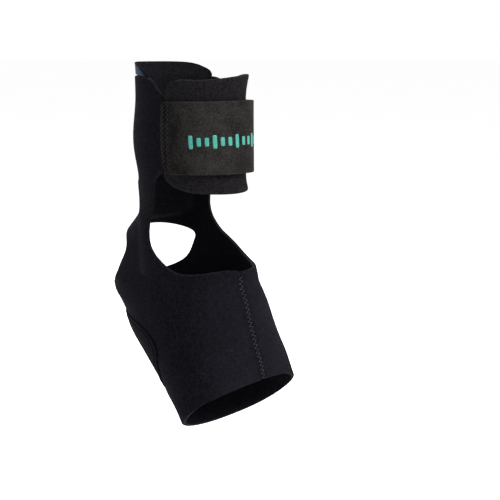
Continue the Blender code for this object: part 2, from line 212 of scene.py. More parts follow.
def looking(made, place, direction):
    """Puts a camera or a lamp at a place and turns it in a direction."""
    made.location = place
    made.rotation_mode = "QUATERNION"
    made.rotation_quaternion = direction.to_track_quat("-Z", "Y")


def place_camera():
    a = math.radians(CAMERA_AZIMUTH)
    e = math.radians(CAMERA_ELEVATION)
    back = Vector((math.sin(a) * math.cos(e), -math.cos(a) * math.cos(e), math.sin(e)))
    right = Vector((math.cos(a), math.sin(a), 0))
    centre = right * CAMERA_ASIDE + back.cross(right) * CAMERA_UP
    data = bpy.data.cameras.new("camera")
    data.lens = CAMERA_LENS
    data.sensor_width = CAMERA_SENSOR
    made = placed("camera", data)
    looking(made, centre + back * CAMERA_DISTANCE, -back)
    bpy.context.scene.camera = made


place_camera()


# The limb surface.


def limb_rows():
    """Back or sole points, front or top points, medial directions and half widths, row by row."""
    backs, fronts, medials, halves = [], [], [], []
    for height, back, front, half in SHIN_SECTIONS:
        backs.append((0, back * ANKLE_DEPTH, height * SHIN_RISE))
        fronts.append((0, front * ANKLE_DEPTH, height * SHIN_RISE))
        medials.append((1, 0, 0))
        halves.append(half * ANKLE_WIDTH)
    pitch = math.radians(FOOT_PITCH)
    forward = np.array((0, -math.cos(pitch), -math.sin(pitch)))
    upright = np.array((0, -math.sin(pitch), math.cos(pitch)))
    side = np.array((1, 0, 0))
    for sole_s, sole_d, top_s, top_d, half, share in FOOT_SECTIONS:
        roll = math.radians(FOOT_ROLL * share)
        dorsal = upright * math.cos(roll) - side * math.sin(roll)
        backs.append(forward * (sole_s * FOOT_REACH) + dorsal * (sole_d * FOOT_DROP))
        fronts.append(forward * (top_s * FOOT_REACH) + dorsal * (top_d * FOOT_DROP))
        medials.append(side * math.cos(roll) + upright * math.sin(roll))
        halves.append(half * FOOT_WIDTH)
    return np.array(backs), np.array(fronts), np.array(medials), np.array(halves)[:, None]


BACKS, FRONTS, MEDIALS, HALVES = limb_rows()


def unit(vectors):
    return vectors / np.maximum(np.linalg.norm(vectors, axis=-1, keepdims=True), 1e-12)


def between(rows, u):
    """Catmull-Rom values of a table of rows at stations u."""
    last = len(rows) - 1
    first = np.clip(np.floor(u).astype(int), 0, last - 1)
    t = (u - first)[:, None]
    a, b, c, d = (rows[np.clip(first + k, 0, last)] for k in (-1, 0, 1, 2))
    return 0.5 * (2 * b + (c - a) * t + (2 * a - 5 * b + 4 * c - d) * t**2 + (3 * b - a - 3 * c + d) * t**3)


def oval(angles, power):
    """Cosines and sines of angles, filled out toward a square by a power below 1."""
    c, s = np.cos(angles), np.sin(angles)
    return np.sign(c) * np.abs(c) ** power, np.sign(s) * np.abs(s) ** power


def oval_ring(count, power):
    return oval(np.arange(count) * 2 * math.pi / count, power)


def ramp(value, zero, one):
    """0 at one value and 1 at another, straight between them and level beyond."""
    return np.clip((value - zero) / (one - zero), 0, 1)


def skin(u, v):
    back, front, half = between(BACKS, u), between(FRONTS, u), between(HALVES, u)
    medial = unit(between(MEDIALS, u))
    c, s = (x[:, None] for x in oval(np.radians(v), 2 / SECTION_POWER))
    return (back + front) / 2 + (back - front) / 2 * c + medial * half * s


def slopes(u, v, turns):
    """Steps of the limb surface down the limb and around it."""
    down = skin(u + SLOPE_STATIONS, v) - skin(u - SLOPE_STATIONS, v)
    return down, skin(u, v + turns) - skin(u, v - turns)


def outward(u, v):
    down, around = slopes(u, v, OUTWARD_TURNS)
    return unit(np.cross(around, down))


def limb(u, v, offset):
    """Points at an offset outward from the limb surface."""
    return skin(u, v) + outward(u, v) * np.broadcast_to(offset, u.shape)[:, None]


def stations(places):
    """Stations and turns of flat points."""
    return places[:, 0] / STATION_SCALE, places[:, 1] / TURN_SCALE


def real_scales(places):
    """Real metres for one flat metre, along the limb and around it."""
    down, around = slopes(*stations(places), SCALE_TURNS)
    along = np.linalg.norm(down, axis=1) / (2 * SLOPE_STATIONS * STATION_SCALE)
    return np.stack((along, np.linalg.norm(around, axis=1) / (2 * SCALE_TURNS * TURN_SCALE)), 1)


def cloth_map():
    """Real lengths along and around the limb at each station and turn, for the pattern of a cloth."""
    u = np.arange(0, LAST_STATION + MAP_STATIONS / 10, MAP_STATIONS)
    v = np.arange(MAP_START, 361.0, MAP_TURNS)
    grid = np.stack([skin(u, np.full_like(u, turn)) for turn in v], 1)
    steps = np.linalg.norm(np.diff(grid, axis=0), axis=2)
    along = np.concatenate((np.zeros((1, len(v))), np.cumsum(steps, 0)))
    along -= along[round(MAP_ZERO / MAP_STATIONS)]
    once_round = np.linalg.norm(np.diff(grid, axis=1), axis=2)[:, : round(360 / MAP_TURNS)]
    return u, v, along, once_round.sum(1) / 360


MAP_U, MAP_V, MAP_ALONG, MAP_GIRTH = cloth_map()


def cloth_place(u, v):
    """Pattern coordinates in metres: around the limb, and along it."""
    i = np.clip(u / MAP_STATIONS, 0, len(MAP_U) - 1.001)
    k = np.clip((v - MAP_START) / MAP_TURNS, 0, len(MAP_V) - 1.001)
    i0, k0 = i.astype(int), k.astype(int)
    a, b = i - i0, k - k0
    first, second = (MAP_ALONG[i0, n] * (1 - a) + MAP_ALONG[i0 + 1, n] * a for n in (k0, k0 + 1))
    return np.stack((v * np.interp(u, MAP_U, MAP_GIRTH), first * (1 - b) + second * b), 1)


# Flat cuts. Points in them are flat metres.


def flat(rows):
    return np.array([(r[0] * STATION_SCALE, r[1] * TURN_SCALE) for r in rows], float)


def spline(rows, step=EDGE_STEP):
    """Evenly sampled smooth curve through rows of (station, turn), ends kept."""
    p = flat(rows)
    p = np.vstack((2 * p[:1] - p[1:2], p, 2 * p[-1:] - p[-2:-1]))
    out = []
    for p0, p1, p2, p3 in zip(p, p[1:], p[2:], p[3:]):
        g = [max(np.linalg.norm(b - a), 1e-9) ** 0.5 for a, b in ((p0, p1), (p1, p2), (p2, p3))]
        m1 = ((p1 - p0) / g[0] - (p2 - p0) / (g[0] + g[1]) + (p2 - p1) / g[1]) * g[1]
        m2 = ((p2 - p1) / g[1] - (p3 - p1) / (g[1] + g[2]) + (p3 - p2) / g[2]) * g[1]
        count = max(1, round(np.linalg.norm(p2 - p1) / step))
        t = (np.arange(count) / count)[:, None]
        out.append(
            p1 * (2 * t**3 - 3 * t**2 + 1) + m1 * (t**3 - 2 * t**2 + t)
            + p2 * (3 * t**2 - 2 * t**3) + m2 * (t**3 - t**2)
        )
    return np.vstack((*out, p[-2:-1]))


def straight(start, end, step=EDGE_STEP):
    a, b = flat([start, end])
    count = max(1, round(np.linalg.norm(b - a) / step))
    return a + (b - a) * (np.arange(count + 1) / count)[:, None]


def joined(*runs):
    """One closed outline from runs that follow each other, without doubled points."""
    out = []
    for p in np.vstack(runs):
        if not out or np.linalg.norm(p - out[-1]) > DOUBLED:
            out.append(p)
    while np.linalg.norm(out[0] - out[-1]) < DOUBLED:
        out.pop()
    return np.array(out)


def inside(loop, points):
    x, y = points[:, :1], points[:, 1:]
    (ax, ay), (bx, by) = loop.T, np.roll(loop, -1, 0).T
    crossing = (ay > y) != (by > y)
    with np.errstate(divide="ignore", invalid="ignore"):
        at = (bx - ax) * (y - ay) / (by - ay) + ax
    return (crossing & (x < at)).sum(1) % 2 == 1


def within(loops, points):
    """Whether points lie inside the first loop and outside the others."""
    keep = inside(loops[0], points)
    for hole in loops[1:]:
        keep &= ~inside(hole, points)
    return keep


def distance(line, points, closed=True):
    """Distance of points from a line of points, in the line's own unit."""
    a = line if closed else line[:-1]
    b = np.roll(line, -1, 0) if closed else line[1:]
    best = np.full(len(points), FAR)
    for start, end in zip(a, b):
        along = end - start
        t = np.clip((points - start) @ along / max(along @ along, 1e-18), 0, 1)
        best = np.minimum(best, np.linalg.norm(points - start - t[:, None] * along, axis=1))
    return best


def nearest(points, others):
    """Distance of each point from the nearest of some others, taken in parts to save memory."""
    best = np.full(len(points), FAR)
    for part in np.array_split(others, max(1, len(others) // 200)):
        best = np.minimum(best, np.linalg.norm(points[:, None] - part[None], axis=2).min(1))
    return best


def parallel(loop, depth, hole):
    """Points a real distance inside a cut's edge, or outside a hole's."""
    ends = np.roll(loop, -1, 0) - np.roll(loop, 1, 0)
    scales = real_scales(loop)
    tangent = unit(ends * scales)
    normal = np.stack((-tangent[:, 1], tangent[:, 0]), 1)
    area = np.sum(loop[:, 0] * np.roll(loop[:, 1], -1) - np.roll(loop[:, 0], -1) * loop[:, 1])
    sign = (1 if area > 0 else -1) * (-1 if hole else 1)
    return loop + sign * normal * depth / scales


def net(loops, depths, step=NET_STEP, extra=()):
    """A cut: outline loops[0], holes in the rest, rings of points at depths from the edges, and triangles."""
    points, edges, marks, rings = [], [], [], []

    def add(line, depth, links):
        start = sum(len(p) for p in points)
        edges.extend((start + i, start + (i + 1) % len(line)) for i in range(links))
        points.append(line)
        marks.append(np.full(len(line), depth))

    for k, loop in enumerate(loops):
        for depth in (0.0, *depths):
            ring = parallel(loop, depth, k > 0) if depth else loop
            add(ring, depth, len(ring))
        rings.append(ring)
    for line in extra:
        add(line, INNER, len(line) - 1)
    low, high = loops[0].min(0), loops[0].max(0)
    rows, columns = np.ceil((high - low) / (step * NET_ROW, step)).astype(int) + 1
    i, k = np.meshgrid(np.arange(rows), np.arange(columns), indexing="ij")
    grid = low + np.stack((i * step * NET_ROW, (k + 0.5 * (i % 2)) * step), 2).reshape(-1, 2)
    grid = grid[within(rings, grid)]
    grid = grid[nearest(grid, np.vstack([*rings, *extra])) > NET_ROOM * step]
    add(grid, INNER, 0)
    points, marks = np.vstack(points), np.concatenate(marks)
    found = delaunay_2d_cdt([Vector(p) for p in points], edges, [], 0, 1e-8)
    places = np.array([tuple(p) for p in found[0]])
    depths = np.array([min((marks[n] for n in names), default=INNER) for names in found[3]])
    triangles = np.array(found[2])
    a, b, c = (places[triangles[:, n]] for n in range(3))
    size = np.abs((b - a)[:, 0] * (c - a)[:, 1] - (b - a)[:, 1] * (c - a)[:, 0])
    keep = (size > 1e-10) & within(loops, (a + b + c) / 3)
    used, triangles = np.unique(triangles[keep], return_inverse=True)
    return Cut(places[used], depths[used], triangles.reshape(-1, 3), loops)


def new_mesh(name, points, faces, pattern, finishes, finish_of=None):
    """A smooth piece at the origin, with its cloth pattern as a UV map in metres."""
    mesh = bpy.data.meshes.new(name)
    mesh.from_pydata([tuple(p) for p in points], [], [tuple(int(k) for k in f) for f in faces])
    layer = mesh.uv_layers.new(name="cloth")
    corner = np.zeros(len(mesh.loops), int)
    mesh.loops.foreach_get("vertex_index", corner)
    layer.data.foreach_set("uv", pattern[corner].astype(np.float32).ravel())
    for finish in finishes:
        mesh.materials.append(finish)
    if finish_of is not None:
        mesh.polygons.foreach_set("material_index", np.asarray(finish_of, np.int32))
    mesh.polygons.foreach_set("use_smooth", np.ones(len(mesh.polygons), bool))
    mesh.validate()
    mesh.update()
    return placed(name, mesh)


def layer_shape(cut, inner, outer, kinds=(0, 0, 1)):
    """Points, faces, finish numbers (outer face, inner face, cut edge) and cloth places of a closed layer."""
    triangles = cut.triangles
    u, v = stations(cut.places)
    high, low = limb(u, v, outer), limb(u, v, inner)
    a, b, c = (high[triangles[:, n]] for n in range(3))
    facing = np.einsum("ij,ij->i", np.cross(b - a, c - a), outward(u[triangles[:, 0]], v[triangles[:, 0]]))
    if facing.sum() < 0:
        triangles = triangles[:, ::-1]
    count = len(cut.places)
    ways = {(f[i], f[(i + 1) % 3]) for f in triangles.tolist() for i in range(3)}
    rim = [(b, a, a + count, b + count) for a, b in sorted(ways) if (b, a) not in ways]
    faces = [*triangles.tolist(), *(triangles[:, ::-1] + count).tolist(), *rim]
    finishes = [kinds[0]] * len(triangles) + [kinds[1]] * len(triangles) + [kinds[2]] * len(rim)
    return np.vstack((high, low)), faces, finishes, np.vstack((cloth_place(u, v),) * 2)


def layer(name, cut, inner, outer, finishes, kinds=(0, 0, 1)):
    """Closed layer between two offsets from the limb, over a net."""
    points, faces, numbers, pattern = layer_shape(cut, inner, outer, kinds)
    made = new_mesh(name, points, faces, pattern, finishes, np.minimum(numbers, len(finishes) - 1))
    edge = made.data.attributes.new("edge", "FLOAT", "POINT")
    edge.data.foreach_set("value", np.tile(edge_distance(cut), 2).astype(np.float32))
    return made


def pressed_and_painted_shading(piece, values):
    """Marks how much darker a cloth is drawn: pressed down under its stitching, and painted shade. Below 0 it
    is drawn lighter, a painted light.
    """
    mark = piece.data.attributes.new("pressed_and_painted_shading", "FLOAT", "POINT")
    mark.data.foreach_set("value", np.tile(values, 2).astype(np.float32))


def edge_distance(cut):
    """Real distance of each net point from the cut's edge, up to 6 mm."""
    away = nearest(cut.places, np.vstack(cut.loops)) * real_scales(cut.places).mean(1)
    return np.minimum(np.where(cut.depths < INNER, cut.depths, away), 6 * MM)


def piping(name, loop, offset, half_width, half_height, finish, sides=12, squareness=0.7):
    """Tape folded over an edge: a closed tube of rounded section along a loop of a flat cut."""
    u, v = stations(loop)
    centre, up = limb(u, v, offset), outward(u, v)
    tangent = unit(np.roll(centre, -1, 0) - np.roll(centre, 1, 0))
    side = unit(np.cross(tangent, up))
    c, s = oval_ring(sides, squareness)
    rings = centre[:, None] + side[:, None] * (c * half_width)[None, :, None]
    rings = rings + up[:, None] * (s[None, :] * half_height[:, None])[..., None]
    faces = []
    for i in range(len(loop)):
        here, there = i * sides, (i + 1) % len(loop) * sides
        for k in range(sides):
            after = (k + 1) % sides
            faces.append((here + k, here + after, there + after, there + k))
    points = rings.reshape(-1, 3)
    a, b, d = (points[np.array(faces)[:, n]] for n in (0, 1, 3))
    out = np.einsum("ij,ij->i", np.cross(b - a, d - a), a - np.repeat(centre, sides, 0))
    if out.sum() < 0:
        faces = [f[::-1] for f in faces]
    return new_mesh(name, points, faces, np.repeat(cloth_place(u, v), sides, 0), [finish])


def rounded(depth, radius):
    """How far a rounded edge of a wall falls away at a depth inside the edge."""
    t = np.clip(1 - depth / radius, 0, 1)
    return radius * (1 - np.sqrt(np.clip(1 - t * t, 0, 1)))


def round_depths(radius):
    return tuple(radius * (1 - math.cos(math.radians(a))) for a in (32, 61, 90))


def hollow(cut, line, width):
    """1 on a line of (station, turn) rows, fading to 0 at about a width from it, in real metres."""
    away = distance(spline(line, 2 * MM), cut.places, closed=False)
    return np.exp(-((away * real_scales(cut.places).mean(1) / width) ** 2))


def rim_station(turn):
    turns, rises = zip(*RIM_RISE)
    return LAST_STATION - float(np.interp(turn, turns, rises))


def joint_line(way):
    """The joint between the sleeve's upright and the wrap, half a gap to one side of it."""
    gap = math.degrees(CLEARANCE / 2 / (ANKLE_WIDTH / 2))
    return [(s, t + way * gap) for s, t in JOINT]


def sleeve_loops():
    joint = joint_line(-1)
    seam = math.degrees(SEAM_GAP / 2 / (FOOT_WIDTH / 2))
    sides = []
    for share, way in ((1.0, 1.0), (0.0, -1.0)):
        ankle = [(r[0] + r[2] * share, min(r[1], 180.0 - seam)) for r in ANKLE_EDGE]
        line = [(s, (t if way > 0 else 360.0 - t) - seam) for s, t in SEAM]
        end = line[-1][1] - RIM_CORNER_TURNS[0]
        rim_end = end - RIM_CORNER_TURNS[1]
        turns = (end, *np.linspace(rim_end, 0, RIM_STEPS))
        rim = [(rim_station(t if way > 0 else 360.0 - t), t) for t in turns]
        corner = [line[-1], (rim[0][0] - RIM_CORNER_DIP, end), rim[1]]
        run = joined(
            spline([*SLEEVE_TOP, joint[0]]),
            straight(*joint),
            spline([joint[1], *ankle, *line]),
            spline(corner, step=0.6 * MM),
            flat(rim[1:]),
        )
        sides.append(run * (1.0, way))
    s, t = oval_ring(HOLE_STEPS, 2 / HOLE_POWER)
    hole = flat(np.stack((HOLE_STATION - HOLE_HALF_STATIONS * s, HOLE_HALF_ANGLE * t), 1))
    return [joined(sides[0], sides[1][::-1]), hole]


def wrap_loops():
    medial = joint_line(1)
    lateral = [(s, 360.0 - t) for s, t in reversed(medial)]
    top = spline([lateral[1], *WRAP_TOP, medial[0]])
    bottom = spline([medial[1], *WRAP_BOTTOM, lateral[0]])
    return [joined(top, straight(*medial), bottom, straight(*lateral))]


def wrap_flare(u, v):
    """The wrap's two long edges stand away from the shin where the strap doesn't hold them."""
    above = np.maximum(0, STRAP_STATIONS[0] - u) / FLARE_ABOVE
    below = np.maximum(0, u - STRAP_STATIONS[1]) / FLARE_BELOW
    ease = np.minimum(ramp(v, *FLARE_MEDIAL), ramp(v, *FLARE_LATERAL))
    return EDGE_FLARE * np.minimum(1, above + below) ** 2 * ease


def strap_seat(v):
    """The strap lies on the wrap, stands off at the front and ends on the hook tab."""
    lift = STRAP_LIFT * np.sin(math.pi * ramp(v, *STRAP_FREE_TURNS) ** STRAP_LIFT_POWER)
    seat = WRAP_WALL + CLEARANCE
    tab_seat = NEOPRENE + CLEARANCE + TAB_WALL + CLEARANCE
    return seat + lift + (max(tab_seat, seat) - seat) * ramp(v, *STRAP_ON_TAB)


def strap_loops():
    top, bottom = STRAP_STATIONS
    free = [(top + s, STRAP_END + t) for s, t in FREE_CORNER]
    lower = [(top + bottom - s, t) for s, t in reversed(free)]
    sewn_low = [(bottom + s, STRAP_START[1] + t) for s, t in SEWN_LOW_CORNER]
    sewn_high = [(top + s, STRAP_START[0] + t) for s, t in SEWN_HIGH_CORNER]
    return [
        joined(
            straight(sewn_high[-1], free[0]),
            spline(free),
            straight(free[-1], lower[0]),
            spline(lower),
            straight(lower[-1], sewn_low[0]),
            spline(sewn_low, step=0.7 * MM),
            straight(sewn_low[-1], sewn_high[0]),
            spline(sewn_high, step=0.5 * MM),
        )
    ]


def strap_start(station):
    """Turn of the strap's sewn end."""
    share = (station - STRAP_STATIONS[0]) / (STRAP_STATIONS[1] - STRAP_STATIONS[0])
    return STRAP_START[0] + (STRAP_START[1] - STRAP_START[0]) * share


def tab_loops():
    top, bottom = STRAP_STATIONS[0] + TAB_INSET, STRAP_STATIONS[1] - TAB_INSET
    corners = [(top, TAB_TURNS[1]), (top, TAB_TURNS[0]), (bottom, TAB_TURNS[0]), (bottom, TAB_TURNS[1])]
    return [joined(*(straight(a, b) for a, b in zip(corners, corners[1:] + corners[:1])))]


def both_sides(rows):
    return joined(spline(rows), spline([(s, -t) for s, t in reversed(rows)]))


def upright_top(turn):
    """Station of the upright's top edge."""
    return UPRIGHT_TOP + UPRIGHT_FALL * (np.abs(turn) / UPRIGHT_CORNER) ** 2


# Materials. Each one is made of nodes, and its patterns are sized in real lengths.

WALE = 1.7 * MM
COURSE = 1.9 * MM


def linear(hex_code):
    """Linear colour from an sRGB hex code."""
    values = [int(hex_code[i : i + 2], 16) / 255 for i in (1, 3, 5)]
    return (*(x / 12.92 if x <= 0.04045 else ((x + 0.055) / 1.055) ** 2.4 for x in values), 1.0)


def node(tree, kind, inputs=None, **settings):
    """Adds a node with its settings. An input takes a value, or a socket to link from."""
    made = tree.nodes.new(kind)
    for key, value in settings.items():
        setattr(made, key, value)
    for key, value in (inputs or {}).items():
        if isinstance(value, bpy.types.NodeSocket):
            tree.links.new(value, made.inputs[key])
        else:
            made.inputs[key].default_value = value
    return made


def maths(operation, *values):
    """Result of a sum on values and sockets, in the first socket's own tree."""
    tree = next(value for value in values if isinstance(value, bpy.types.NodeSocket)).id_data
    return node(tree, "ShaderNodeMath", dict(enumerate(values)), operation=operation).outputs[0]


def scaled(value, factor):
    return maths("MULTIPLY", value, factor)


def total(*values):
    return reduce(lambda a, b: maths("ADD", a, b), values)


def wave(value, length=1.0):
    """Sine of a value, from -1 to 1, that comes back after each length."""
    return maths("SINE", scaled(value, 2 * math.pi / length))


def solid_place(tree):
    """The place in the piece, for patterns that fill it."""
    return node(tree, "ShaderNodeTexCoord").outputs["Object"]


def cloth_axes(tree):
    """The place on the cloth in metres: around the limb, and along it."""
    place = node(tree, "ShaderNodeUVMap", uv_map="cloth").outputs["UV"]
    return node(tree, "ShaderNodeSeparateXYZ", {0: place}).outputs


def marked(tree, name):
    """A value that the piece carries at its points."""
    return node(tree, "ShaderNodeAttribute", attribute_name=name).outputs["Fac"]


def shader_input(made, key):
    """The shader's input of that name, with _ for a space."""
    return made.node_tree.nodes["Principled BSDF"].inputs[key.replace("_", " ")]


def new_material(name, **constants):
    """An empty material, whose constants are set on its shader's own sockets, and its tree."""
    made = bpy.data.materials.new(name)
    made.use_nodes = True
    for key, value in constants.items():
        shader_input(made, key).default_value = value
    return made, made.node_tree


def wired(made, **sockets):
    """The material, with sockets linked to its shader's inputs."""
    for key, value in sockets.items():
        made.node_tree.links.new(value, shader_input(made, key))
    return made


def mixed(factor, first, second):
    """Colour between two hex codes."""
    colours = {6: linear(first), 7: linear(second)}
    return node(factor.id_data, "ShaderNodeMix", {0: factor, **colours}, data_type="RGBA").outputs[2]


def noise(vector, millimetres, detail=2.0, roughness=0.5):
    """Noise whose lumps are about so many millimetres, from 0 to 1."""
    scale = 1 / (millimetres * MM)
    inputs = {"Vector": vector, "Scale": scale, "Detail": detail, "Roughness": roughness}
    return node(vector.id_data, "ShaderNodeTexNoise", inputs).outputs["Fac"]


def spread(value, low, high, to_low=0.0, to_high=1.0):
    inputs = {"Value": value, "From Min": low, "From Max": high, "To Min": to_low, "To Max": to_high}
    return node(value.id_data, "ShaderNodeMapRange", inputs).outputs["Result"]


def bump(height, depth_mm, normal=None):
    """Bump of a height from 0 to 1 that stands for so many millimetres."""
    inputs = {"Height": height, "Distance": depth_mm * MM, "Strength": 1.0}
    if normal is not None:
        inputs["Normal"] = normal
    return node(height.id_data, "ShaderNodeBump", inputs).outputs["Normal"]


def jersey(name, dark, light, sheen):
    """Nylon jersey bonded on neoprene foam: a matt knit of small chevrons, mottled, with a faint sheen.

    A real knit has about 0.5 mm between its wales. It is drawn about three times as coarse, so that it shows.
    """
    made, tree = new_material(
        name, Roughness=0.85, Specular_IOR_Level=0.015,
        Sheen_Weight=sheen, Sheen_Roughness=0.6, Sheen_Tint=linear("#b9c2e0"),
    )
    solid, axes = solid_place(tree), cloth_axes(tree)
    rib = maths("PINGPONG", maths("DIVIDE", axes[0], WALE), 0.5)
    along = maths("DIVIDE", axes[1], COURSE)
    leaning = total(along, scaled(rib, 1.1), scaled(noise(solid, 6, 1.0), 1.6))
    loops = spread(wave(leaning), -1, 1, 0.2, 1.0)
    knit = maths("MULTIPLY", wave(rib), loops)
    fuzz = noise(solid, 1.1, 3.0, 0.7)
    mottle = noise(solid, 2.1, 2.0, 0.6)
    patches = noise(solid, 17, 3.0, 0.6)
    worn = spread(marked(tree, "edge"), 0.2 * MM, 1.6 * MM, 0.28, 0.0)
    shade = total(
        scaled(knit, 0.42),
        spread(fuzz, 0.3, 0.7, -0.08, 0.37),
        spread(mottle, 0.3, 0.7, -0.1, 0.36),
        spread(patches, 0.35, 0.65, -0.03, 0.06),
        scaled(worn, spread(mottle, 0.35, 0.6)),
        # Pressing along seams, with painted shade and painted light where the piece is marked for them.
        scaled(marked(tree, "pressed_and_painted_shading"), -0.3),
    )
    soft = bump(mottle, 0.12, bump(patches, 0.25))
    return wired(
        made,
        Base_Color=mixed(shade, dark, light),
        Roughness=spread(fuzz, 0.3, 0.7, 0.78, 0.92),
        Normal=bump(total(knit, fuzz), 0.14, soft),
    )


def foam_core(name):
    """Cut edge of closed-cell neoprene foam: matt black with pores of about a third of a millimetre."""
    made, tree = new_material(name, Roughness=0.95, Specular_IOR_Level=0.08)
    cells = {"Vector": solid_place(tree), "Scale": 1 / (0.45 * MM)}
    pores = node(tree, "ShaderNodeTexVoronoi", cells).outputs["Distance"]
    return wired(made, Base_Color=mixed(pores, "#060606", "#0e0e0f"), Normal=bump(pores, 0.12))


def loop_elastic(name):
    """Brushed loop elastic: charcoal pile of short tangled loops on an elastic ground, flat where it is sewn,
    with painted shade where the piece is marked for it.

    The real tufts are well under 1 mm. They are drawn about twice as coarse, so that they show.
    """
    made, tree = new_material(
        name, Roughness=0.92, Specular_IOR_Level=0.02,
        Sheen_Weight=0.02, Sheen_Roughness=0.6, Sheen_Tint=linear("#e8e2dc"),
    )
    solid = solid_place(tree)
    pile = noise(solid, 0.95, 4.0, 0.8)
    tufts = noise(solid, 1.5, 3.0, 0.7)
    ground = spread(wave(cloth_axes(tree)[1], 1.5 * MM), -1, 1, 0.0, 0.12)
    shade = total(
        spread(pile, 0.3, 0.7, -0.1, 0.55),
        ground,
        spread(tufts, 0.32, 0.68, -0.1, 0.4),
        spread(noise(solid, 9, 2.0, 0.5), 0.3, 0.7, -0.1, 0.2),
        # Pressing where it is sewn, with painted shade where the piece is marked for it.
        scaled(marked(tree, "pressed_and_painted_shading"), -0.45),
        spread(marked(tree, "edge"), 0.3 * MM, 1.0 * MM, 0.2, 0.0),
    )
    height = total(pile, scaled(ground, 0.6))
    normal = bump(height, 0.18, bump(tufts, 0.18))
    return wired(made, Base_Color=mixed(shade, "#080707", "#272625"), Normal=normal)


def brushed_blue(name):
    """Brushed blue nylon over the air cell: dense short nap, drawn lighter on the crests of its soft folds, a
    painted light.
    """
    made, tree = new_material(
        name, Roughness=0.7, Specular_IOR_Level=0.1,
        Sheen_Weight=0.06, Sheen_Roughness=0.4, Sheen_Tint=linear("#9fc0ea"),
    )
    solid = solid_place(tree)
    nap = noise(solid, 0.7, 3.0, 0.7)
    patches = noise(solid, 7, 2.0, 0.5)
    # Painted light: the colour is lighter where the fold bumps stand highest.
    shade = total(*(spread(value, 0.3, 0.7, 0.0, 0.5) for value in (nap, patches)))
    normal = bump(nap, 0.12, bump(patches, 0.3))
    return wired(made, Base_Color=mixed(shade, "#07121d", "#11263c"), Normal=normal)


def thread(name, dark, light, roughness, gloss):
    """Twisted polyester thread or tape: small slanting strands and a slight gloss."""
    made, tree = new_material(name, Roughness=roughness, Specular_IOR_Level=gloss)
    strands = noise(solid_place(tree), 0.35, 2.0, 0.6)
    return wired(made, Base_Color=mixed(strands, dark, light), Normal=bump(strands, 0.05))


def hook_tape(name):
    """Moulded nylon hook tape: a glossy black web under rows of hooks 1.2 mm apart."""
    made, tree = new_material(name, Roughness=0.45, Specular_IOR_Level=0.4)
    axes = cloth_axes(tree)
    rows = [wave(axes[k], 1.2 * MM) for k in (0, 1)]
    hooks = spread(maths("MULTIPLY", *rows), -1, 1)
    return wired(made, Base_Color=mixed(hooks, "#0c0c0c", "#1d1d1d"), Normal=bump(hooks, 0.4))


def print_ink(name):
    """Rubbery teal transfer print, worn a little where the pile stands through."""
    made, tree = new_material(name, Roughness=0.5, Specular_IOR_Level=0.35)
    worn = noise(solid_place(tree), 0.8, 3.0, 0.7)
    colour = mixed(spread(worn, 0.35, 0.75), "#1f6b60", "#358175")
    return wired(made, Base_Color=colour, Normal=bump(worn, 0.08))


sleeve_jersey = jersey("jersey_faced_neoprene", "#020203", "#131217", 0.008)
# The wrap's knit is a lighter copy of the sleeve's, a painted light.
wrap_jersey_painted_lighter = jersey("jersey_faced_neoprene_wrap", "#040404", "#1b191b", 0.01)
arch_jersey = jersey("jersey_faced_arch_neoprene", "#030304", "#131418", 0.01)
pad_lining = jersey("black_pad_lining", "#040405", "#151518", 0.01)
foam_edge = foam_core("neoprene_foam_cut")
strap_pile = loop_elastic("brushed_loop_elastic")
pad_cloth = brushed_blue("brushed_blue_nylon")
seam_thread = thread("black_polyester_thread", "#131317", "#2c2c33", 0.55, 0.12)
# Painted shade inside the needle holes.
needle_hole_shade = thread("shaded_needle_hole", "#010101", "#040404", 0.95, 0.0)
strap_thread = thread("charcoal_polyester_thread", "#0e0d0e", "#242325", 0.6, 0.08)
binding_tape = thread("black_binding_tape", "#040404", "#0c0b0c", 0.9, 0.04)
tab_web = hook_tape("nylon_hook_tape")
teal_ink = print_ink("teal_transfer_print")


# Stitches.


